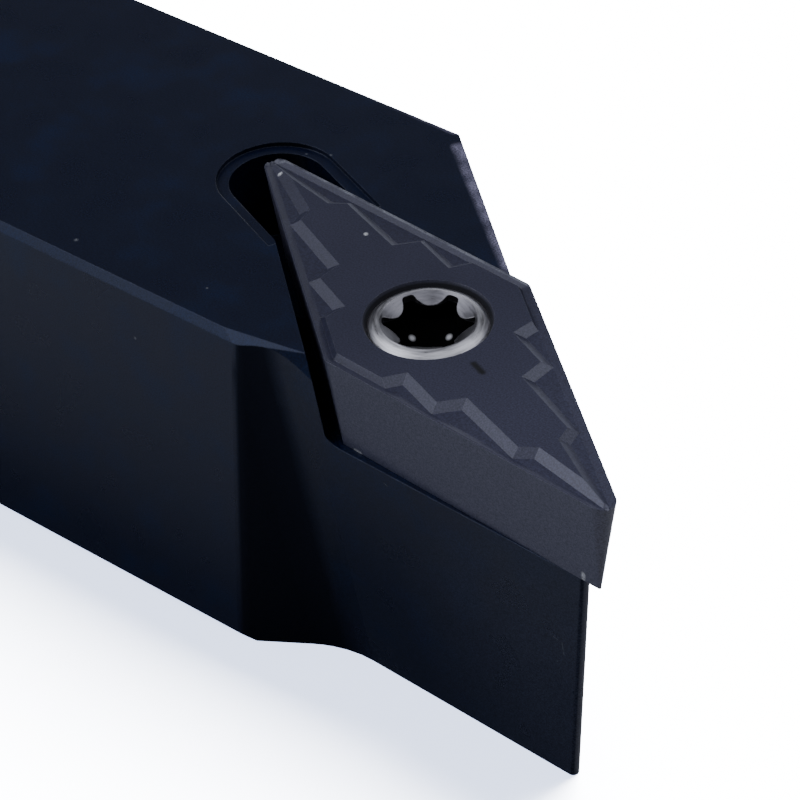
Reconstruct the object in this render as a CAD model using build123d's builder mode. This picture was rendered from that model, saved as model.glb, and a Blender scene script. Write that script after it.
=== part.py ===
from build123d import *
import os
from math import cos, radians, sin, tan

# A left-hand external turning tool: a one-piece steel holder, the rhombic insert
# that sits in its pocket, and the screw that clamps the insert down.
# Lengths are in millimetres and angles in degrees. X runs along the shank to the
# nose, Y away from the cutting side, Z up. The origin is on the base, under the
# shank's centre line and halfway along the tool.

# Driving dimensions ---------------------------------------------------------

# Shank
overall_length = 100.0
shank_width = 12.0
shank_height = 12.0
long_edge_chamfer = 0.22
tail_chamfer = 0.5

# Insert: a rhombus with flanks that lean inwards
inscribed_circle = 6.35
corner_angle = 35.0
insert_thickness = 3.18
nose_radius = 0.4
lower_nose_radius = 0.05
clearance_angle = 7.0
insert_hole_diameter = 2.8
countersink_mouth_diameter = 3.75
countersink_angle = 60.0

# Chip breaker: a rake that falls from the cutting edge to an island. Three pockets
# bite into the island between each edge's middle and its sharp corner.
cutting_land = 0.05
rake_width = 0.2
rake_depth = 0.08
rake_nose_radius = 0.1
island_height = 0.1
island_side_width = 0.12
pocket_starts = (1.1, 2.85, 5.8)
pocket_deep_points = (1.35, 3.35, 6.25)
pocket_ends = (2.8, 5.75, 8.9)
pocket_depths = (0.42, 0.66, 0.36)
pocket_wall_slope = 58.0

# Where the insert sits
lead_angle = 4.0
nose_side_overhang = 0.15
insert_stand_up = 0.2

# Head of the holder
end_face_inset = 0.01
end_face_turn = 1.05
head_side_angle = 2.35
head_side_inset = 0.028
head_side_lean = 6.3
step_corner_set_back = 4.06
step_foot_lean = 5.3
step_angle = 32.0
step_blend_radius = 3.5
step_corner_radius = 0.8
front_edge_radius = 0.18

# Flats ground on the recess's top edge: one on the step's corner, and a steeper
# one beside the pocket. Each starts some way along and in from the step's corner.
corner_flat_advance = -0.69
corner_flat_angle = 9.5
corner_flat_slope = 36.0
pocket_flat_advance = 0.76
pocket_flat_inset = 0.35
pocket_flat_angle = 14.0
pocket_flat_slope = 65.0
flat_length = 3.0

# Pocket
short_wall_gap = 0.45
short_wall_turn = 1.3
long_wall_break = 0.08
floor_blend_margin = 0.07

# Relief slot at the insert's rear corner
relief_centre_distance = 8.98
relief_centre_offset = 0.13
relief_radius = 1.5
relief_extra_depth = 0.2
relief_ledge_width = 0.38
relief_ledge_depth = 0.15
relief_run = 3.0

# Clamp screw
thread_diameter = 2.5
thread_clearance = 0.03
thread_hole_chamfer = 0.2
screw_length = 7.5
screw_tip_chamfer = 0.3
head_rim_sink = 0.2
head_dome_rise = 0.2
head_dome_bulge = 0.03
socket_mouth_diameter = 2.8
socket_mouth_slope = 30.0
socket_tip_diameter = 2.66
socket_valley_diameter = 1.95
socket_valley_radius = 0.6
socket_lobe_rounding = 0.12
socket_lobes = 6
socket_turn = 40.0
socket_wall = 0.12
socket_point_angle = 120.0

# Derived sizes and places ---------------------------------------------------

insert_half = inscribed_circle / 2
half_corner = corner_angle / 2
edge_height = shank_height + insert_stand_up
seat_half = insert_half - insert_thickness * tan(radians(clearance_angle))
beyond = overall_length / 2
overshoot = 1.0
tolerance = 0.001

nose_distance = (insert_half - nose_radius) / sin(radians(half_corner))
nose_bearing = radians(half_corner + lead_angle)
hole_x = overall_length / 2 - nose_radius - nose_distance * cos(nose_bearing)
hole_side = shank_width / 2 + nose_side_overhang - nose_radius - nose_distance * sin(nose_bearing)

island_half = insert_half - cutting_land - rake_width
countersink_slope = tan(radians(countersink_angle / 2))

# Heights on the screw, above the cutting edge. The head's cone continues the
# insert's countersink, and the socket stops where its lobes near that cone.
head_rim_height = island_height - head_rim_sink
head_rim_radius = countersink_mouth_diameter / 2 - head_rim_sink * countersink_slope
head_top_height = head_rim_height + head_dome_rise
thread_radius = thread_diameter / 2
neck_height = head_rim_height - (head_rim_radius - thread_radius) / countersink_slope
tip_height = head_top_height - screw_length
mouth_width = (socket_mouth_diameter - socket_valley_diameter) / 2
mouth_foot_height = head_top_height - mouth_width * tan(radians(socket_mouth_slope))
socket_floor_radius = socket_tip_diameter / 2 + socket_wall
socket_floor_height = head_rim_height - (head_rim_radius - socket_floor_radius) / countersink_slope

# The insert's axes: x along its cutting edge to the nose, y across to the edge
# that rests on the pocket's long wall, with the origin on the hole's centre line.
edge_plane = Plane(
    origin=(hole_x, -hole_side, edge_height),
    x_dir=(cos(radians(lead_angle)), -sin(radians(lead_angle)), 0),
    z_dir=(0, 0, 1),
)
seat_height = edge_height - insert_thickness
seat_plane = edge_plane.offset(-insert_thickness)
hole_axis = Axis(edge_plane.origin, (0, 0, 1))
top_plane = edge_plane.offset(-insert_stand_up)
base_plane = edge_plane.offset(-edge_height)

# Directions square to the rhombus's edges, and along its diagonals, in those axes.
front_direction = 90.0 - corner_angle
long_wall_direction = front_direction + corner_angle
end_face_direction = front_direction - end_face_turn
short_wall_direction = front_direction + 180.0 - short_wall_turn
diagonal = Vector(cos(radians(half_corner)), -sin(radians(half_corner)))
long_diagonal_mirror = Plane(origin=(0, 0, 0), x_dir=(0, 0, 1), z_dir=diagonal.rotate(Axis.Z, 90))
short_diagonal_mirror = Plane(origin=(0, 0, 0), x_dir=(0, 0, 1), z_dir=diagonal)


def rhombus(half_width, corner_radius):
    """Rhombus with its edges half_width from the middle and its corners rounded."""
    side = half_width / sin(radians(corner_angle))
    skew = side * cos(radians(corner_angle))
    with BuildSketch() as outline:
        with BuildLine():
            Polyline(
                (-side - skew, half_width),
                (side - skew, half_width),
                (side + skew, -half_width),
                (skew - side, -half_width),
                close=True,
            )
        make_face()
        fillet(outline.vertices(), corner_radius)
    return outline.sketch


def half_plane(distance, direction, mode=Mode.ADD):
    """Wide rectangle past a line that lies distance from the hole in a direction."""
    with PolarLocations(distance, 1, start_angle=direction):
        Rectangle(beyond, 2 * beyond, align=(Align.MIN, Align.CENTER), mode=mode)


def breaker_pockets():
    """Feet of the breaker pockets: three along one edge, mirrored about both diagonals."""
    with BuildSketch() as feet:
        for start, deep_point, end, depth in zip(
            pocket_starts, pocket_deep_points, pocket_ends, pocket_depths
        ):
            with BuildLine():
                Polyline(
                    (start, -island_half),
                    (deep_point, depth - island_half),
                    (end, -island_half),
                    close=True,
                )
            make_face()
        mirror(about=long_diagonal_mirror)
        mirror(about=short_diagonal_mirror)
    return feet.sketch


def relief_slot(radius):
    """Slot's plan: a round end behind the rear corner and a straight run to the hole."""
    middle = Vector(-relief_centre_distance, -relief_centre_offset).rotate(Axis.Z, -half_corner)
    with Locations(middle):
        Circle(radius)
    with Locations(Location(middle, (0, 0, -half_corner))):
        Rectangle(relief_run, 2 * radius, align=(Align.MIN, Align.CENTER))


def recess_line():
    """Step line and head side line of the recess at the holder's top, about the hole."""
    step = Vector(1, 0).rotate(Axis.Z, step_angle)
    side = Vector(1, 0).rotate(Axis.Z, -head_side_angle)
    corner = Vector(-step_corner_set_back, hole_side - shank_width / 2)
    seat_depth = insert_thickness - insert_stand_up
    seat_corner = diagonal.rotate(Axis.Z, -lead_angle) * (seat_half / sin(radians(half_corner)))
    lean_at_top = seat_depth * tan(radians(head_side_lean))
    side_point = seat_corner + side.rotate(Axis.Z, -90) * (lean_at_top - head_side_inset)
    foot = Axis(corner, step).intersect(Axis(side_point, side))
    return corner - step * shank_width, foot, foot + side * beyond


def flat_section(advance, inset, angle, slope):
    """Section of a flat that starts near the step's corner and runs at an angle to X."""
    start = Vector(hole_x - step_corner_set_back + advance, inset - shank_width / 2, shank_height)
    run = Vector(1, 0, 0).rotate(Axis.Z, angle)
    with BuildSketch(Plane(origin=start, x_dir=Vector(0, 0, 1).cross(run), z_dir=run)) as section:
        with BuildLine():
            foot = (-overshoot, -overshoot * tan(radians(slope)))
            Polyline((0, 0), foot, (-overshoot, 0), close=True)
        make_face()
    return section.sketch


# Holder ---------------------------------------------------------------------

with BuildPart() as holder:
    # Shank and head in one bar, its edges broken.
    with BuildSketch(Plane.YZ.offset(-overall_length / 2)):
        Rectangle(shank_width, shank_height, align=(Align.CENTER, Align.MIN))
    extrude(amount=overall_length)
    chamfer(holder.faces().sort_by(Axis.X)[0].edges(), tail_chamfer)
    chamfer(holder.edges().filter_by(Axis.X), long_edge_chamfer)

    # Front end, cut off parallel to the insert's end edge.
    with BuildSketch(base_plane):
        half_plane(seat_half - end_face_inset, end_face_direction)
    extrude(amount=shank_height, mode=Mode.SUBTRACT)

    # Side recess: a step across the shank, blended into the head's side. The cut
    # runs down at a slant, so that both faces lean.
    outer_end, foot, front_end = recess_line()
    with BuildSketch(Plane((hole_x, -hole_side, shank_height))):
        with BuildLine():
            FilletPolyline(outer_end, foot, front_end, radius=step_blend_radius)
            Line(outer_end, (front_end.X, outer_end.Y))
            Line(front_end, (front_end.X, outer_end.Y))
        make_face()
    slant = Vector(tan(radians(step_foot_lean)), tan(radians(head_side_lean)), -1)
    slant_direction = slant.rotate(Axis.Z, -head_side_angle)
    extrude(amount=shank_height + overshoot, dir=slant_direction, mode=Mode.SUBTRACT)
    step_corner = Vector(hole_x - step_corner_set_back, -shank_width / 2, shank_height)
    upright_edges = holder.edges().filter_by(lambda edge: abs(edge.tangent_at(0.5).Z) > 0.9)
    fillet(upright_edges.sort_by_distance(step_corner)[0], step_corner_radius)

    # Pocket: the floor and the two walls that the insert's flanks lie against.
    with BuildSketch(seat_plane):
        Rectangle(2 * beyond, 2 * beyond)
        half_plane(seat_half, long_wall_direction, mode=Mode.SUBTRACT)
        half_plane(seat_half + short_wall_gap, short_wall_direction, mode=Mode.SUBTRACT)
        half_plane(relief_centre_distance, 180.0 - half_corner, mode=Mode.SUBTRACT)
    extrude(amount=insert_thickness, taper=-clearance_angle, mode=Mode.SUBTRACT)

    # Front edge rounded.
    upright_edges = holder.edges().filter_by(lambda edge: abs(edge.tangent_at(0.5).Z) > 0.9)
    fillet(upright_edges.sort_by(Axis.X)[-1], front_edge_radius)

    # Flats ground along the recess's top edge.
    for section in (
        flat_section(corner_flat_advance, long_edge_chamfer, corner_flat_angle, corner_flat_slope),
        flat_section(pocket_flat_advance, pocket_flat_inset, pocket_flat_angle, pocket_flat_slope),
    ):
        extrude(section, amount=flat_length, mode=Mode.SUBTRACT)

    # Blend at the foot of the short wall, which the insert's lower edge clears.
    floor_edges = holder.edges().filter_by(Plane.XY).filter_by_position(Axis.Z, seat_height, seat_height)
    short_wall_foot = seat_plane.from_local_coords(
        Vector(1, 0).rotate(Axis.Z, short_wall_direction) * (seat_half + short_wall_gap)
    )
    fillet(floor_edges.sort_by_distance(short_wall_foot)[0], short_wall_gap - floor_blend_margin)

    # Top edge of the long wall broken, just clear of the insert.
    top_edges = holder.edges().filter_by(Plane.XY).filter_by_position(Axis.Z, shank_height, shank_height)
    long_wall_top = top_plane.from_local_coords(Vector(0, seat_half))
    chamfer(top_edges.sort_by_distance(long_wall_top)[0], long_wall_break)

    # Relief slot along the rhombus's long diagonal, with a shallow ledge round its mouth.
    relief_depth = insert_thickness - insert_stand_up + relief_extra_depth
    for radius, depth in (
        (relief_radius, relief_depth),
        (relief_radius + relief_ledge_width, relief_ledge_depth),
    ):
        with BuildSketch(top_plane):
            relief_slot(radius)
        extrude(amount=-depth, mode=Mode.SUBTRACT)

    # Tapped hole for the clamp screw, from the pocket's floor through to the base.
    with Locations(Location((hole_x, -hole_side, seat_height))):
        Hole(thread_radius + thread_clearance, depth=seat_height)
    thread_mouths = holder.edges().filter_by(GeomType.CIRCLE).filter_by(
        lambda edge: abs(edge.radius - thread_radius - thread_clearance) < tolerance
    )
    chamfer(thread_mouths, thread_hole_chamfer)


# Insert ---------------------------------------------------------------------

with BuildPart() as insert:
    # Body, tapered from the cutting edge down to the seat.
    with BuildSketch(seat_plane):
        add(rhombus(seat_half, lower_nose_radius))
    with BuildSketch(edge_plane):
        add(rhombus(insert_half, nose_radius))
    loft(ruled=True)

    # Rake that falls inwards from the cutting edge all the way round.
    with BuildSketch(edge_plane):
        add(rhombus(insert_half - cutting_land, nose_radius - cutting_land))
    with BuildSketch(edge_plane.offset(-rake_depth)):
        add(rhombus(island_half, rake_nose_radius))
    loft(ruled=True, mode=Mode.SUBTRACT)

    # Island with sloping sides, the pockets bitten into it, and the countersunk hole.
    with BuildSketch(edge_plane.offset(-rake_depth)):
        add(rhombus(island_half, rake_nose_radius))
    with BuildSketch(edge_plane.offset(island_height)):
        add(rhombus(island_half - island_side_width, rake_nose_radius))
    loft(ruled=True)
    with BuildSketch(edge_plane.offset(-rake_depth)):
        add(breaker_pockets())
    extrude(amount=rake_depth + island_height, taper=-pocket_wall_slope, mode=Mode.SUBTRACT)
    with Locations(edge_plane.offset(island_height)):
        CounterSinkHole(
            insert_hole_diameter / 2,
            countersink_mouth_diameter / 2,
            counter_sink_angle=countersink_angle,
        )


# Clamp screw ----------------------------------------------------------------

with BuildPart() as clamp_screw:
    # Turned blank: domed rim, open mouth, cone that seats in the insert, and shank.
    with BuildSketch(Plane(origin=edge_plane.origin, x_dir=(1, 0, 0), z_dir=(0, -1, 0))):
        with BuildLine():
            head_rim = (head_rim_radius, head_rim_height)
            mouth_rim = (socket_mouth_diameter / 2, head_top_height)
            Polyline(
                (0, tip_height),
                (thread_radius - screw_tip_chamfer, tip_height),
                (thread_radius, tip_height + screw_tip_chamfer),
                (thread_radius, neck_height),
                head_rim,
            )
            SagittaArc(head_rim, mouth_rim, -head_dome_bulge)
            Polyline(
                mouth_rim,
                (socket_valley_diameter / 2, mouth_foot_height),
                (0, mouth_foot_height),
                (0, tip_height),
            )
        make_face()
    revolve(axis=hole_axis)

    # Six-lobe socket with a drilled point at its foot.
    with BuildSketch(edge_plane.offset(head_top_height)) as socket:
        Circle(socket_tip_diameter / 2)
        valley_centre = socket_valley_diameter / 2 + socket_valley_radius
        with PolarLocations(valley_centre, socket_lobes, start_angle=socket_turn + 180 / socket_lobes):
            Circle(socket_valley_radius, mode=Mode.SUBTRACT)
        fillet(socket.vertices(), socket_lobe_rounding)
    extrude(amount=socket_floor_height - head_top_height, mode=Mode.SUBTRACT)
    point_radius = socket_valley_diameter / 2
    point_depth = point_radius / tan(radians(socket_point_angle / 2))
    with Locations(edge_plane.offset(socket_floor_height)):
        Cone(
            bottom_radius=0,
            top_radius=point_radius,
            height=point_depth,
            align=(Align.CENTER, Align.CENTER, Align.MAX),
            mode=Mode.SUBTRACT,
        )


# Files ----------------------------------------------------------------------

os.makedirs("parts", exist_ok=True)

holder.part.label = "holder"
export_step(holder.part, "parts/holder.step")

insert.part.label = "insert"
export_step(insert.part, "parts/insert.step")

clamp_screw.part.label = "clamp_screw"
export_step(clamp_screw.part, "parts/clamp_screw.step")
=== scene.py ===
import logging
from dataclasses import dataclass, field
from math import cos, radians, sin
from typing import Sequence

import bmesh
import bpy
from mathutils import Matrix, Quaternion, Vector


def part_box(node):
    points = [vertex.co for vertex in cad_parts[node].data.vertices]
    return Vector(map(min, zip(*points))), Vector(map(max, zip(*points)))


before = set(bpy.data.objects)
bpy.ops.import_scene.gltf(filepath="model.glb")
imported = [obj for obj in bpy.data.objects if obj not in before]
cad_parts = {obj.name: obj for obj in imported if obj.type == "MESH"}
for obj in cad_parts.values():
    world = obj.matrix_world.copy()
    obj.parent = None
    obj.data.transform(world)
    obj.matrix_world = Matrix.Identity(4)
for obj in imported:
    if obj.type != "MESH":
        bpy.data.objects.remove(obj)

# A left-hand external turning tool: the holder's black steel bar, the coated
# carbide insert in its pocket and the bright clamp screw. The scene is in metres.
# The finishes give their patterns, marks and places in millimetres.

log = logging.getLogger("turning_tool")

MILLIMETRE = 0.001

Color = tuple[float, float, float]
Place = tuple[float, float, float]
Range = tuple[float, float]
Line = tuple[Place, Place]
Source = bpy.types.NodeSocket | float | Color | Place

UP: Place = (0.0, 0.0, 1.0)
RAMP_INPUTS = ("Value", "From Min", "From Max", "To Min", "To Max")

# The Mix node's sockets for colours: the factor, both colours and the result.
MIX_INPUTS = (0, 6, 7)
MIX_RESULT = 2


# Where things are, worked out from the frame -------------------------------


@dataclass(frozen=True)
class ToolFrame:
    """The clamp screw's axis, on which two finishes are centred.

    Attributes:
        hole: Where the axis meets the holder's top, in metres.
        head: Height of the top of the screw's head, in metres.
    """

    hole: Vector
    head: float

    @classmethod
    def from_nodes(cls) -> "ToolFrame":
        """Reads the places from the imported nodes."""
        low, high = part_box("clamp_screw")
        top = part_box("holder")[1].z
        return cls(Vector(((low.x + high.x) / 2, (low.y + high.y) / 2, top)), high.z)


# Shader graphs -------------------------------------------------------------


class NodeGraph:
    """A node tree, with short ways to add the nodes used here."""

    def __init__(self, tree: bpy.types.NodeTree) -> None:
        """Keeps the tree to build in."""
        self.tree = tree

    def add(self, kind: str, **settings: object) -> bpy.types.Node:
        """Adds a node and sets its properties.

        Args:
            kind: The node's type name, without its ShaderNode start.
            settings: Properties of the node by name.

        Returns:
            The new node.
        """
        node = self.tree.nodes.new("ShaderNode" + kind)
        for name, value in settings.items():
            setattr(node, name, value)
        return node

    def feed(self, socket: bpy.types.NodeSocket, source: Source) -> None:
        """Links a socket to another, or sets its value.

        Args:
            socket: The input to feed.
            source: An output socket, a number, a colour or a vector.
        """
        if isinstance(source, bpy.types.NodeSocket):
            self.tree.links.new(source, socket)
        elif isinstance(source, tuple) and len(socket.default_value) == 4:
            socket.default_value = (*source, 1.0)
        else:
            socket.default_value = source

    def math(self, operation: str, first: Source, second: Source = 0.0) -> bpy.types.NodeSocket:
        """Adds a Math node and returns its result."""
        node = self.add("Math", operation=operation)
        self.feed(node.inputs[0], first)
        self.feed(node.inputs[1], second)
        return node.outputs[0]

    def vector_math(self, operation: str, first: Source, second: Source) -> bpy.types.Node:
        """Adds a Vector Math node of two inputs and returns the node."""
        node = self.add("VectorMath", operation=operation)
        self.feed(node.inputs[0], first)
        self.feed(node.inputs[1], second)
        return node

    def scaled(self, vector: Source, factor: Source) -> bpy.types.NodeSocket:
        """A vector or a colour times a number."""
        node = self.add("VectorMath", operation="SCALE")
        self.feed(node.inputs[0], vector)
        self.feed(node.inputs["Scale"], factor)
        return node.outputs[0]

    def ramp(
        self,
        factor: bpy.types.NodeSocket,
        low: float,
        high: float,
        start: float = 0.0,
        end: float = 1.0,
        smooth: bool = False,
    ) -> bpy.types.NodeSocket:
        """Maps a range of a value onto another and stops at its ends.

        Args:
            factor: The value to map.
            low: Value that gives start.
            high: Value that gives end.
            start: Result at low.
            end: Result at high.
            smooth: Whether the change eases in and out.

        Returns:
            The mapped value's socket.
        """
        kind = "SMOOTHSTEP" if smooth else "LINEAR"
        node = self.add("MapRange", clamp=True, interpolation_type=kind)
        for name, value in zip(RAMP_INPUTS, (factor, low, high, start, end)):
            self.feed(node.inputs[name], value)
        return node.outputs[0]

    def blend(self, factor: Source, first: Source, second: Source) -> bpy.types.NodeSocket:
        """Mixes two colours and returns the mixed colour."""
        node = self.add("Mix", data_type="RGBA")
        for index, source in zip(MIX_INPUTS, (factor, first, second)):
            self.feed(node.inputs[index], source)
        return node.outputs[MIX_RESULT]


class SurfaceGraph(NodeGraph):
    """A material's node tree, with patterns in millimetres on its object's coordinates.

    Attributes:
        spot_core: Share of a round mark's radius inside which it is full.
        streak_core: Share of a streak's width inside which it is full.
        speck_core: Share of a speck's radius inside which it is full.
        edge_start: Share of an edge's turn at which its mark starts.
        bevel_samples: Rays that feel for the edges round each point.
        mottle_share: Noise values that give a mottled colour's darkest and lightest grains.
        grain_layers: How many finer layers a grain has, and how strong they are.
    """

    spot_core = 0.35
    streak_core = 0.3
    speck_core = 0.5
    edge_start = 0.1
    bevel_samples = 6
    mottle_share = (0.3, 0.7)
    grain_layers = (2.0, 0.6)

    def __init__(self, name: str) -> None:
        """Starts a material with a Principled shader and its coordinates."""
        self.material = bpy.data.materials.new(name)
        self.material.use_nodes = True
        super().__init__(self.material.node_tree)
        self.shader = self.tree.nodes["Principled BSDF"]
        self.coordinates = self.add("TexCoord").outputs["Object"]
        self.normal = self.add("NewGeometry").outputs["Normal"]

    def set(self, **inputs: Source) -> None:
        """Feeds the Principled shader's inputs, named with _ for each space."""
        for name, source in inputs.items():
            self.feed(self.shader.inputs[name.replace("_", " ")], source)

    def placed(self, centre: Place = (0.0, 0.0, 0.0), unit: float = 1.0) -> bpy.types.NodeSocket:
        """Coordinates about a centre.

        Args:
            centre: The place that becomes the pattern's centre, in metres.
            unit: Length of one pattern unit, in millimetres.

        Returns:
            The coordinates' socket.
        """
        node = self.add("Mapping", vector_type="TEXTURE")
        self.feed(node.inputs["Vector"], self.coordinates)
        self.feed(node.inputs["Location"], centre)
        self.feed(node.inputs["Scale"], (unit * MILLIMETRE,) * 3)
        return node.outputs[0]

    def noise(
        self, vector: bpy.types.NodeSocket, detail: float = 3.0, roughness: float = 0.5
    ) -> bpy.types.NodeSocket:
        """Adds fractal noise with features of one pattern unit.

        Args:
            vector: The coordinates, from placed.
            detail: How many finer layers lie on the first.
            roughness: How strong the finer layers are.

        Returns:
            The 0 to 1 factor's socket.
        """
        node = self.add("TexNoise")
        self.feed(node.inputs["Vector"], vector)
        for name, value in (("Scale", 1.0), ("Detail", detail), ("Roughness", roughness)):
            self.feed(node.inputs[name], value)
        return node.outputs[0]

    def grain(self, size: float) -> bpy.types.NodeSocket:
        """Even fine grain of one size, in millimetres."""
        return self.noise(self.placed(unit=size), *self.grain_layers)

    def patches(self, size: float, share: Range, level: Range) -> bpy.types.NodeSocket:
        """A level that drifts from place to place.

        Args:
            size: Size of the patches, in millimetres.
            share: Noise values that give the lowest and the highest level.
            level: The lowest and the highest level.

        Returns:
            The level's socket.
        """
        return self.ramp(self.noise(self.placed(unit=size)), *share, *level)

    def facing(self, direction: Place, cosines: Range) -> bpy.types.NodeSocket:
        """Mask of the surfaces that face a direction.

        Args:
            direction: A unit vector.
            cosines: Cosines of the angles to it at which the mask starts and is full.

        Returns:
            The mask's socket.
        """
        dot = self.vector_math("DOT_PRODUCT", self.normal, direction)
        return self.ramp(dot.outputs["Value"], *cosines)

    def spot(self, place: Place, radius: float) -> bpy.types.NodeSocket:
        """Mask of a round mark.

        Args:
            place: The mark's centre, in millimetres.
            radius: Where the mark has faded out, in millimetres.

        Returns:
            The mask's socket.
        """
        gap = self.vector_math("DISTANCE", self.placed(), place).outputs["Value"]
        return self.ramp(gap, radius, self.spot_core * radius)

    def streak(self, line: Line, width: float) -> bpy.types.NodeSocket:
        """Mask of a straight thin mark.

        Args:
            line: The mark's two ends, in millimetres.
            width: Distance from its line where the mark has faded out, in millimetres.

        Returns:
            The mask's socket.
        """
        start, end = line
        run = Vector(end) - Vector(start)
        offset = self.vector_math("SUBTRACT", self.placed(), start).outputs[0]
        share = self.vector_math("DOT_PRODUCT", offset, tuple(run / run.length_squared))
        along = self.scaled(tuple(run), self.ramp(share.outputs["Value"], 0.0, 1.0))
        gap = self.vector_math("DISTANCE", offset, along).outputs["Value"]
        return self.ramp(gap, width, self.streak_core * width)

    def streaks(self, lines: Sequence[Line], width: float) -> bpy.types.NodeSocket:
        """Mask of several straight thin marks of one width."""
        return self.strongest([self.streak(line, width) for line in lines])

    def strongest(self, masks: Sequence[bpy.types.NodeSocket]) -> bpy.types.NodeSocket:
        """Puts several masks together, each point by its strongest."""
        together = masks[0]
        for mask in masks[1:]:
            together = self.math("MAXIMUM", together, mask)
        return together

    def specks(self, spacing: float, radius: float, share: float) -> bpy.types.NodeSocket:
        """Mask of sparse specks of dust.

        Args:
            spacing: Size of the cells that may hold a speck, in millimetres.
            radius: A speck's radius as a share of the cell.
            share: Share of the cells that hold one.

        Returns:
            The mask's socket.
        """
        cells = self.add("TexVoronoi")
        self.feed(cells.inputs["Vector"], self.placed(unit=spacing))
        self.feed(cells.inputs["Scale"], 1.0)
        chosen = self.add("SeparateColor")
        self.feed(chosen.inputs[0], cells.outputs["Color"])
        kept = self.math("GREATER_THAN", chosen.outputs[0], 1.0 - share)
        specks = self.ramp(cells.outputs["Distance"], radius, self.speck_core * radius)
        return self.math("MULTIPLY", kept, specks)

    def rounded(self, radius: float) -> bpy.types.NodeSocket:
        """Normal as if every edge had a small radius, in millimetres."""
        node = self.add("Bevel", samples=self.bevel_samples)
        self.feed(node.inputs["Radius"], radius * MILLIMETRE)
        return node.outputs[0]

    def edges(self, radius: float, turn: float) -> bpy.types.NodeSocket:
        """Mask along the edges, from how a rounded normal leaves the flat one.

        Args:
            radius: Width of the band on each side of an edge, in millimetres.
            turn: Cosine lost at the middle of a fully marked edge.

        Returns:
            The mask's socket.
        """
        dot = self.vector_math("DOT_PRODUCT", self.rounded(radius), self.normal)
        return self.ramp(dot.outputs["Value"], 1.0 - self.edge_start * turn, 1.0 - turn)

    def mottled(self, color: Source, size: float, depth: float) -> bpy.types.NodeSocket:
        """A colour made a little lighter and darker from grain to grain.

        Args:
            color: The colour's socket.
            size: Size of the grains, in millimetres.
            depth: How far the grains leave the mean, as a share of it.

        Returns:
            The grained colour's socket.
        """
        grain = self.noise(self.placed(unit=size), 1.0)
        return self.scaled(color, self.ramp(grain, *self.mottle_share, 1.0 - depth, 1.0 + depth))

    def bump(
        self, height: bpy.types.NodeSocket, depth: float, below: bpy.types.NodeSocket
    ) -> bpy.types.NodeSocket:
        """Adds a bump of a real depth.

        Args:
            height: The relief, from 0 to 1.
            depth: What a height of 1 stands for, in millimetres.
            below: The normal that the relief lies on.

        Returns:
            The bumped normal's socket.
        """
        node = self.add("Bump")
        self.feed(node.inputs["Height"], height)
        self.feed(node.inputs["Distance"], depth * MILLIMETRE)
        self.feed(node.inputs["Normal"], below)
        return node.outputs[0]


# Finishes ------------------------------------------------------------------


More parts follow.
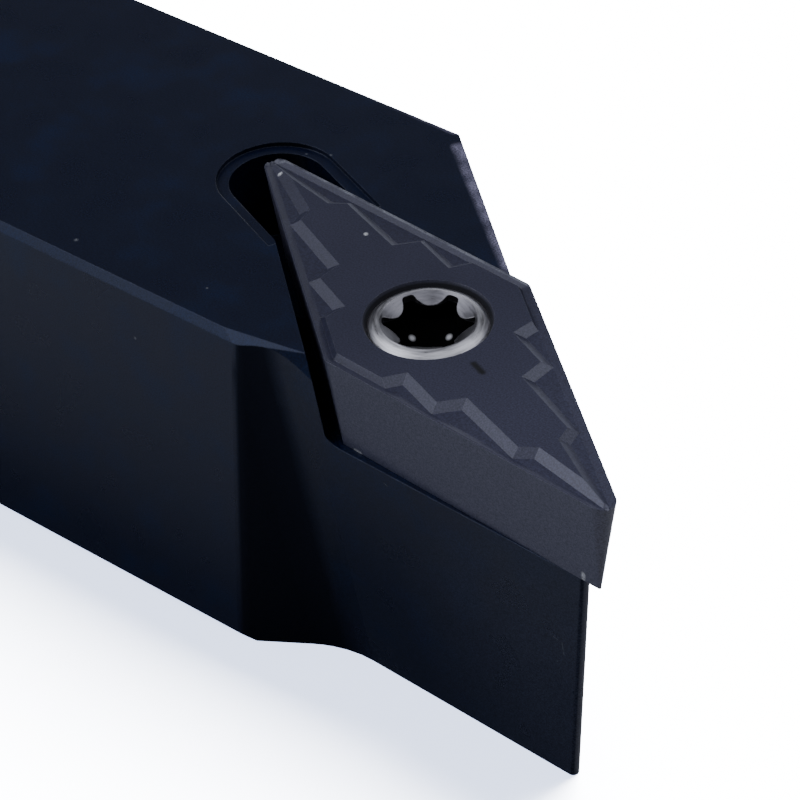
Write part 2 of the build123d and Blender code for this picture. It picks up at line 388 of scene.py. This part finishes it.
@dataclass(frozen=True)
class BlackOxide:
    """Blackened steel, finely ground: blue-black and satin, paler where edges are worn, with
    painted shade, painted light and painted glints.

    Attributes:
        step_facing: Direction that the step in the head's side faces; surfaces facing it are
            painted near-black as shade.
        nose: Place near the nose about which the head is painted lighter, as more light falls
            there.
        dust_and_glints: Places of specks and painted glints, each with its radius: the first two
            are glints painted on edges, the rest are pale specks.
        scratches: Short scratches.
        glare_edges: Stretches of far edge painted paler as a glare highlight.
    """

    color: Color = (0.0055, 0.0090, 0.0290)
    navy: Color = (0.0025, 0.0105, 0.0440)
    step_shade_color: Color = (0.0004, 0.0008, 0.0040)
    nose_lit_color: Color = (0.036, 0.041, 0.070)
    worn_color: Color = (0.055, 0.062, 0.085)
    dust_and_glint_color: Color = (0.16, 0.17, 0.20)
    glare_color: Color = (0.34, 0.32, 0.46)
    sheen_tint: Color = (0.60, 0.68, 1.0)
    specular: float = 0.50
    roughness: Range = (0.26, 0.35)
    roughness_share: Range = (0.3, 0.7)
    cloud_size: float = 1.6
    cloud_detail: float = 2.0
    navy_share: Range = (0.5, 0.72)
    step_facing: Place = (0.458, -0.887, -0.05)
    step_cosines: Range = (0.91, 0.98)
    nose: Place = (49.0, -5.8, 3.5)
    nose_reach: float = 7.5
    edge_radius: float = 0.05
    edge_turn: float = 0.12
    patch_size: float = 0.7
    patch_share: Range = (0.35, 0.65)
    patch_level: Range = (0.3, 1.0)
    speck_spacing: float = 0.9
    speck_radius: float = 0.05
    speck_share: float = 0.06
    scratch_width: float = 0.022
    glare_width: float = 0.28
    grain_size: float = 0.05
    grain_depth: float = 0.6
    grain_relief: float = 0.002
    dust_and_glints: tuple[tuple[Place, float], ...] = (
        # The first two are painted glints, at the slot's rim and the pocket's corner; the rest are
        # pale specks.
        ((33.15, 2.64, 12.0), 0.06),
        ((38.97, -5.27, 12.0), 0.07),
        ((32.81, -6.0, 10.18), 0.07),
        ((34.64, -4.67, 12.0), 0.05),
        ((29.89, -5.17, 12.0), 0.09),
        ((47.59, -5.20, 4.92), 0.035),
    )
    scratches: tuple[Line, ...] = (
        ((47.55, -5.31, 5.93), (47.72, -5.31, 5.88)),
        ((47.86, -5.31, 5.84), (47.88, -5.26, 5.36)),
        ((41.63, -5.36, 8.59), (41.74, -5.36, 8.53)),
    )
    glare_edges: tuple[Line, ...] = (
        ((36.02, 5.26, 12.0), (41.35, 1.0, 12.0)),
        ((30.5, 6.0, 11.95), (35.4, 5.9, 11.95)),
    )

    def material(self, name: str) -> bpy.types.Material:
        """Builds the finish under a name."""
        graph = SurfaceGraph(name)
        clouds = graph.noise(graph.placed(unit=self.cloud_size), self.cloud_detail)
        step = graph.facing(self.step_facing, self.step_cosines)
        base = graph.blend(graph.ramp(clouds, *self.navy_share), self.color, self.navy)
        # Painted shade: the step's faces are coloured near-black where the corner shades them.
        base = graph.blend(step, base, self.step_shade_color)
        # Painted light: the head is coloured lighter towards the nose, where more light falls on
        # it.
        base = graph.blend(graph.spot(self.nose, self.nose_reach), base, self.nose_lit_color)
        base = self.worn(graph, base)
        graph.set(Base_Color=graph.mottled(base, self.grain_size, self.grain_depth))
        satin = graph.ramp(clouds, *self.roughness_share, *self.roughness)
        graph.set(Roughness=graph.math("MAXIMUM", satin, step))
        graph.set(Specular_IOR_Level=self.specular, Specular_Tint=self.sheen_tint)
        normal = graph.rounded(self.edge_radius)
        graph.set(Normal=graph.bump(graph.grain(self.grain_size), self.grain_relief, normal))
        return graph.material

    def worn(self, graph: SurfaceGraph, base: bpy.types.NodeSocket) -> bpy.types.NodeSocket:
        """Lays worn edges, specks, scratches, painted glints and a painted glare highlight over
        the steel's colour.

        Args:
            graph: The finish's graph.
            base: The colour below.

        Returns:
            The marked colour's socket.
        """
        patches = graph.patches(self.patch_size, self.patch_share, self.patch_level)
        edges = graph.edges(self.edge_radius, self.edge_turn)
        base = graph.blend(graph.math("MULTIPLY", edges, patches), base, self.worn_color)
        specks = graph.specks(self.speck_spacing, self.speck_radius, self.speck_share)
        # Specks, scratches and two painted glints share one pale colour.
        dust_and_glints = [graph.spot(place, radius) for place, radius in self.dust_and_glints]
        scratches = graph.streaks(self.scratches, self.scratch_width)
        base = graph.blend(graph.strongest([specks, scratches, *dust_and_glints]), base, self.dust_and_glint_color)
        # Painted highlight: the far top edges are coloured paler where glare brightens them.
        glare = graph.streaks(self.glare_edges, self.glare_width)
        return graph.blend(graph.math("MULTIPLY", glare, patches), base, self.glare_color)


@dataclass(frozen=True)
class HardCoating:
    """Thin dark coating over sintered carbide, with a fine even grain, painted lighter on the
    flanks and painted near-black as shade in the countersink.

    Attributes:
        tip: Place of the nose, about which the colour is a little lighter.
        flank_cosines: Cosines to straight up between which the flanks' painted lighter colour
            takes over, for the light they catch.
        mouth_radius: Radius within which the countersink is painted near-black as shade, in
            millimetres.
        smudge: Dark smudge beside the screw.
        worn_and_glint_edges: Stretches of cutting edge where the coating is worn; their pale
            colour is also a painted glint.
        chips: Small bright chips in the edges.
    """

    color: Color = (0.033, 0.034, 0.068)
    pale_color: Color = (0.042, 0.043, 0.082)
    tip_color: Color = (0.062, 0.063, 0.112)
    flank_lit_color: Color = (0.108, 0.110, 0.172)
    worn_color: Color = (0.17, 0.175, 0.21)
    bare_and_glint_color: Color = (0.30, 0.31, 0.36)
    smudge_and_shade_color: Color = (0.002, 0.002, 0.003)
    chip_color: Color = (0.92, 0.92, 0.95)
    sheen_tint: Color = (0.88, 0.88, 1.0)
    specular: float = 1.0
    roughness: float = 0.34
    cloud_size: float = 2.0
    pale_share: Range = (0.3, 0.7)
    tip: Place = (48.6, -5.6, 12.3)
    tip_reach: float = 9.0
    flank_cosines: Range = (0.4, 0.1)
    edge_radius: float = 0.02
    edge_turn: float = 0.035
    patch_size: float = 0.5
    patch_share: Range = (0.35, 0.65)
    patch_level: Range = (0.15, 0.9)
    bare_and_glint_width: float = 0.07
    smudge_width: float = 0.14
    chip_width: float = 0.09
    mouth_radius: float = 1.875
    mouth_blur: float = 0.06
    mottle_size: float = 0.05
    mottle_depth: float = 0.4
    grain_size: float = 0.045
    grain_relief: float = 0.002
    smudge: Line = ((43.32, -3.22, 12.3), (43.76, -3.39, 12.3))
    worn_and_glint_edges: tuple[Line, ...] = (
        ((39.2, 0.94, 12.2), (42.2, 0.73, 12.2)),
        ((32.11, 0.89, 12.2), (32.42, 1.36, 12.2)),
        ((32.5, 1.38, 12.2), (43.2, 0.62, 12.2)),
    )
    chips: tuple[Line, ...] = (
        ((40.42, -5.11, 9.04), (40.60, -5.13, 9.04)),
        ((48.94, -5.73, 9.10), (48.97, -5.75, 9.30)),
        ((32.73, 0.77, 12.15), (32.74, 0.78, 12.20)),
        ((36.93, -0.22, 12.3), (36.94, -0.23, 12.3)),
    )

    def material(self, name: str, tool: ToolFrame) -> bpy.types.Material:
        """Builds the finish.

        Args:
            name: The material's name.
            tool: Places on the tool.

        Returns:
            The material.
        """
        graph = SurfaceGraph(name)
        clouds = graph.noise(graph.placed(unit=self.cloud_size))
        base = graph.blend(graph.ramp(clouds, *self.pale_share), self.color, self.pale_color)
        base = graph.blend(graph.spot(self.tip, self.tip_reach), base, self.tip_color)
        # Painted light: the flanks are coloured lighter than the top for the light that falls on
        # them.
        base = graph.blend(graph.facing(UP, self.flank_cosines), base, self.flank_lit_color)
        base = self.worn(graph, base)
        # Painted shade: the countersink round the screw's head is coloured near-black for the
        # shadowed gap.
        countersink_shade = graph.ramp(
            self.from_axis(graph, tool), self.mouth_radius, self.mouth_radius - self.mouth_blur
        )
        base = graph.blend(countersink_shade, base, self.smudge_and_shade_color)
        graph.set(Base_Color=graph.mottled(base, self.mottle_size, self.mottle_depth))
        graph.set(Roughness=graph.ramp(countersink_shade, 0.0, 1.0, self.roughness, 1.0))
        graph.set(Specular_IOR_Level=self.specular, Specular_Tint=self.sheen_tint)
        normal = graph.rounded(self.edge_radius)
        graph.set(Normal=graph.bump(graph.grain(self.grain_size), self.grain_relief, normal))
        return graph.material

    def worn(self, graph: SurfaceGraph, base: bpy.types.NodeSocket) -> bpy.types.NodeSocket:
        """Lays worn ridges, bare edges that are also a painted glint, a smudge and chips over the
        coating's colour.

        Args:
            graph: The finish's graph.
            base: The colour below.

        Returns:
            The marked colour's socket.
        """
        patches = graph.patches(self.patch_size, self.patch_share, self.patch_level)
        ridges = graph.edges(self.edge_radius, self.edge_turn)
        base = graph.blend(graph.math("MULTIPLY", ridges, patches), base, self.worn_color)
        # Worn coating and a painted highlight: these edges are coloured pale also for the glint
        # along them.
        bare = graph.streaks(self.worn_and_glint_edges, self.bare_and_glint_width)
        base = graph.blend(graph.math("MULTIPLY", bare, patches), base, self.bare_and_glint_color)
        base = graph.blend(graph.streak(self.smudge, self.smudge_width), base, self.smudge_and_shade_color)
        return graph.blend(graph.streaks(self.chips, self.chip_width), base, self.chip_color)

    def from_axis(self, graph: SurfaceGraph, tool: ToolFrame) -> bpy.types.NodeSocket:
        """Distance from the clamp screw's axis, in millimetres."""
        about = graph.placed((tool.hole.x, tool.hole.y, 0.0))
        level = graph.vector_math("MULTIPLY", about, (1.0, 1.0, 0.0)).outputs[0]
        return graph.vector_math("DISTANCE", level, (0.0, 0.0, 0.0)).outputs["Value"]


@dataclass(frozen=True)
class BrightSteel:
    """Turned bright steel with fine rings round its axis, and a socket painted near-black as
    shade.

    Attributes:
        mouth_foot: Depth of the foot of the socket's sloping mouth, in millimetres.
        mouth_radius: Radius of the mouth at the head's top, in millimetres.
        rings_across: Rings in each millimetre of radius.
        arcs_around: Lengths of the rings' arcs, in arcs for each radian.
        socket_glints: Places inside the socket where glints are painted in the bright steel's
            colour.
    """

    color: Color = (0.82, 0.80, 0.84)
    mouth_color: Color = (0.32, 0.31, 0.34)
    socket_shade_color: Color = (0.0008, 0.0008, 0.0012)
    specular: float = 0.1
    roughness: Range = (0.26, 0.44)
    roughness_share: Range = (0.3, 0.7)
    mouth_foot: float = 0.245
    mouth_foot_blur: Range = (-0.02, 0.01)
    mouth_radius: float = 1.4
    mouth_blur: float = 0.02
    edge_radius: float = 0.03
    edge_turn: float = 0.05
    rings_across: float = 14.0
    arcs_around: float = 2.5
    ring_share: Range = (0.25, 0.75)
    ring_level: Range = (0.55, 1.2)
    ring_relief: float = 0.006
    socket_glint_radius: float = 0.13
    socket_glints: tuple[Place, ...] = ((40.39, -2.39, 11.36), (41.23, -1.75, 11.38))

    def material(self, name: str, tool: ToolFrame) -> bpy.types.Material:
        """Builds the finish.

        Args:
            name: The material's name.
            tool: Places on the tool.

        Returns:
            The material.
        """
        graph = SurfaceGraph(name)
        split = graph.add("SeparateXYZ")
        graph.feed(split.inputs[0], graph.placed((tool.hole.x, tool.hole.y, tool.head)))
        across, aside, height = split.outputs
        squares = [graph.math("POWER", part, 2.0) for part in (across, aside)]
        radius = graph.math("SQRT", graph.math("ADD", *squares))
        angle = graph.math("ARCTAN2", aside, across)
        rings = graph.noise(self.round_about(graph, radius, angle))
        below, above = self.mouth_foot_blur
        outside = graph.ramp(height, below - self.mouth_foot, above - self.mouth_foot)
        graph.set(Base_Color=self.colored(graph, radius, rings, outside), Metallic=outside)
        brushed = graph.ramp(rings, *self.roughness_share, *self.roughness)
        inside = graph.ramp(outside, 0.0, 1.0, 1.0, 0.0)
        graph.set(Roughness=graph.math("MAXIMUM", brushed, inside))
        graph.set(Specular_IOR_Level=self.specular)
        graph.set(Normal=graph.bump(rings, self.ring_relief, graph.rounded(self.edge_radius)))
        return graph.material

    def round_about(
        self, graph: SurfaceGraph, radius: bpy.types.NodeSocket, angle: bpy.types.NodeSocket
    ) -> bpy.types.NodeSocket:
        """Coordinates in which a noise runs round the axis in broken fine arcs.

        Args:
            graph: The finish's graph.
            radius: Distance from the axis, in millimetres.
            angle: Angle about the axis, in radians.

        Returns:
            The coordinates' socket.
        """
        node = graph.add("CombineXYZ")
        graph.feed(node.inputs[0], graph.math("MULTIPLY", radius, self.rings_across))
        graph.feed(node.inputs[1], graph.math("MULTIPLY", angle, self.arcs_around))
        return node.outputs[0]

    def colored(
        self,
        graph: SurfaceGraph,
        radius: bpy.types.NodeSocket,
        rings: bpy.types.NodeSocket,
        outside: bpy.types.NodeSocket,
    ) -> bpy.types.NodeSocket:
        """Colours the rim and the mouth, and paints the inside of the socket near-black as shade,
        with two painted glints.

        Args:
            graph: The finish's graph.
            radius: Distance from the axis, in millimetres.
            rings: The rings' pattern.
            outside: Mask of what isn't inside the socket.

        Returns:
            The colour's socket.
        """
        low, high = self.mouth_radius - self.mouth_blur, self.mouth_radius + self.mouth_blur
        bare = graph.blend(graph.ramp(radius, low, high), self.mouth_color, self.color)
        # Painted highlight: the edges, round the mouth too, are coloured bright as glints.
        bare = graph.blend(graph.edges(self.edge_radius, self.edge_turn), bare, self.color)
        bare = graph.scaled(bare, graph.ramp(rings, *self.ring_share, *self.ring_level))
        # Painted highlights: two glints inside the socket.
        socket_glint_mask = graph.strongest([graph.spot(place, self.socket_glint_radius) for place in self.socket_glints])
        # Painted shade: inside the socket the steel is coloured near-black, with painted glints in
        # the steel's colour.
        return graph.blend(outside, graph.blend(socket_glint_mask, self.socket_shade_color, self.color), bare)


@dataclass(frozen=True)
class PaleFloor:
    """Plain matt white surface, faintly lit from within and dimmer in reflections."""

    color: Color = (0.86, 0.87, 0.90)
    cloud_size: float = 30.0
    cloud_level: float = 0.97
    glow: Color = (0.60, 0.70, 1.0)
    glow_strength: float = 2.8
    mirrored_share: float = 0.022
    roughness: float = 0.9

    def material(self, name: str) -> bpy.types.Material:
        """Builds the finish under a name."""
        graph = SurfaceGraph(name)
        mirrored = graph.add("LightPath").outputs["Is Glossy Ray"]
        share = graph.ramp(mirrored, 0.0, 1.0, 1.0, self.mirrored_share)
        clouds = graph.noise(graph.placed(unit=self.cloud_size))
        dimmer = tuple(self.cloud_level * part for part in self.color)
        graph.set(Base_Color=graph.scaled(graph.blend(clouds, self.color, dimmer), share))
        graph.set(Roughness=self.roughness, Specular_IOR_Level=0.0, Emission_Color=self.glow)
        graph.set(Emission_Strength=graph.math("MULTIPLY", share, self.glow_strength))
        return graph.material


# The tool's pieces ---------------------------------------------------------


def dress(node: str, material: bpy.types.Material) -> None:
    """Gives a whole node one material and reports it.

    Args:
        node: The node's name.
        material: Its finish.
    """
    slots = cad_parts[node].data.materials
    slots.clear()
    slots.append(material)
    log.info("%s dressed in %s", node, material.name)


@dataclass
class Holder:
    """The holder's black steel bar."""

    finish: BlackOxide = field(default_factory=BlackOxide)

    def build(self) -> None:
        """Dresses the holder."""
        dress("holder", self.finish.material("black_oxide"))


@dataclass
class CuttingInsert:
    """The coated carbide insert."""

    tool: ToolFrame
    finish: HardCoating = field(default_factory=HardCoating)

    def build(self) -> None:
        """Dresses the insert."""
        dress("insert", self.finish.material("hard_coating", self.tool))


@dataclass
class ClampScrew:
    """The bright clamp screw with its dark socket."""

    tool: ToolFrame
    finish: BrightSteel = field(default_factory=BrightSteel)

    def build(self) -> None:
        """Dresses the screw."""
        dress("clamp_screw", self.finish.material("bright_steel", self.tool))


# Studio --------------------------------------------------------------------


def bearing_vector(azimuth: float, elevation: float) -> Vector:
    """Unit vector towards an azimuth from +X and a height above the horizon, in degrees."""
    bearing, rise = radians(azimuth), radians(elevation)
    return Vector((cos(rise) * cos(bearing), cos(rise) * sin(bearing), sin(rise)))


@dataclass(frozen=True)
class Glow:
    """A soft bright region of the surroundings.

    Attributes:
        azimuth: Direction of its middle about Z, in degrees from +X.
        elevation: Height of its middle above the horizon, in degrees.
        spread: Angle from its middle at which it has faded out, in degrees.
        strength: Radiance at its middle.
    """

    azimuth: float
    elevation: float
    spread: float
    strength: float


@dataclass(frozen=True)
class BackdropLamp:
    """A large soft light that only reaches the floor, so the floor stays white.

    Attributes:
        azimuth: Direction from the tool to the lamp, in degrees from +X.
        elevation: Its height above the horizon, in degrees.
        distance: Distance from the tool, in metres.
        width: Side of the square lamp, in metres.
        power: Radiant power, in watts.
    """

    azimuth: float = 95.0
    elevation: float = 66.0
    distance: float = 1.2
    width: float = 0.8
    power: float = 300.0

    def build(self, target: Vector, floor: bpy.types.Object) -> None:
        """Adds the lamp.

        Args:
            target: The point that it faces.
            floor: The only thing that it lights.
        """
        lamp = bpy.data.lights.new("backdrop_lamp", "AREA")
        lamp.size = self.width
        lamp.energy = self.power
        light = bpy.data.objects.new("backdrop_lamp", lamp)
        outward = bearing_vector(self.azimuth, self.elevation)
        turn = outward.to_track_quat("Z", "Y").to_matrix().to_4x4()
        light.matrix_world = Matrix.Translation(target + outward * self.distance) @ turn
        bpy.context.scene.collection.objects.link(light)
        lit = bpy.data.collections.new("lit_by_backdrop_lamp")
        lit.objects.link(floor)
        light.light_linking.receiver_collection = lit


@dataclass(frozen=True)
class ViewCamera:
    """The camera, which looks down on the tool's head from its cutting side.

    Attributes:
        azimuth: Direction from the view's middle to the camera, in degrees from +X.
        elevation: The camera's height above the horizon from there, in degrees.
        roll: Turn about the view's axis, in degrees.
        place: The camera's place, in metres.
        focal_length: Of the lens, in millimetres.
        sensor_width: In millimetres.
    """

    azimuth: float = -48.7833
    elevation: float = 38.3365
    roll: float = -3.12
    place: Place = (0.089683, -0.059332, 0.068694)
    focal_length: float = 149.44
    sensor_width: float = 36.0

    def build(self) -> None:
        """Adds the camera and makes it the scene's own."""
        lens = bpy.data.cameras.new("camera")
        lens.lens = self.focal_length
        lens.sensor_width = self.sensor_width
        lens.clip_start = MILLIMETRE
        camera = bpy.data.objects.new("camera", lens)
        roll = Quaternion(UP, radians(self.roll))
        turn = bearing_vector(self.azimuth, self.elevation).to_track_quat("Z", "Y") @ roll
        camera.matrix_world = Matrix.Translation(self.place) @ turn.to_matrix().to_4x4()
        bpy.context.scene.collection.objects.link(camera)
        bpy.context.scene.camera = camera


@dataclass
class Studio:
    """Pale floor, soft surroundings, a backdrop lamp and the camera."""

    floor_size: float = 3.0
    ambient: float = 0.05
    tone: Color = (0.88, 0.92, 1.0)
    glows: tuple[Glow, ...] = (
        Glow(-128.0, 49.0, 26.0, 1.9),
        Glow(-129.0, 17.0, 18.0, 1.0),
        Glow(-168.0, 39.0, 20.0, 1.05),
        Glow(-165.0, 63.0, 17.0, 1.6),
        Glow(-5.0, 76.0, 24.0, 1.0),
        Glow(58.0, 50.0, 26.0, 1.3),
        Glow(131.0, 42.0, 50.0, 0.09),
        Glow(122.0, -2.0, 26.0, 1.1),
    )
    backdrop_lamp: BackdropLamp = field(default_factory=BackdropLamp)
    camera: ViewCamera = field(default_factory=ViewCamera)

    def build(self, target: Vector) -> None:
        """Adds the floor, the surroundings, the lamp and the camera.

        Args:
            target: The point that the lamp faces.
        """
        floor = self.add_floor()
        self.add_surroundings()
        self.backdrop_lamp.build(target, floor)
        self.camera.build()
        log.info("studio with %d soft glows", len(self.glows))

    def add_floor(self) -> bpy.types.Object:
        """Adds the floor, level with the holder's base, and returns it."""
        mesh = bmesh.new()
        bmesh.ops.create_grid(mesh, x_segments=4, y_segments=4, size=self.floor_size / 2)
        data = bpy.data.meshes.new("floor")
        mesh.to_mesh(data)
        mesh.free()
        floor = bpy.data.objects.new("floor", data)
        bpy.context.scene.collection.objects.link(floor)
        data.materials.append(PaleFloor().material("pale_floor"))
        floor.visible_diffuse = False
        return floor

    def add_surroundings(self) -> None:
        """Lights the world evenly, with soft brighter regions."""
        world = bpy.data.worlds.new("surroundings")
        world.use_nodes = True
        graph = NodeGraph(world.node_tree)
        toward = graph.add("TexCoord").outputs["Generated"]
        total = self.ambient
        for glow in self.glows:
            middle = tuple(bearing_vector(glow.azimuth, glow.elevation))
            near = graph.vector_math("DOT_PRODUCT", toward, middle).outputs["Value"]
            fade = cos(radians(glow.spread))
            total = graph.math("ADD", total, graph.ramp(near, fade, 1.0, 0.0, glow.strength, True))
        background = world.node_tree.nodes["Background"]
        graph.feed(background.inputs["Color"], self.tone)
        graph.feed(background.inputs["Strength"], total)
        bpy.context.scene.world = world


def main() -> None:
    """Builds the tool and the studio."""
    logging.basicConfig(level=logging.INFO, format="%(name)s: %(message)s")
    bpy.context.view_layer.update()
    tool = ToolFrame.from_nodes()
    for piece in (Holder(), CuttingInsert(tool), ClampScrew(tool)):
        piece.build()
    Studio().build(tool.hole)


if __name__ == "__main__":
    main()
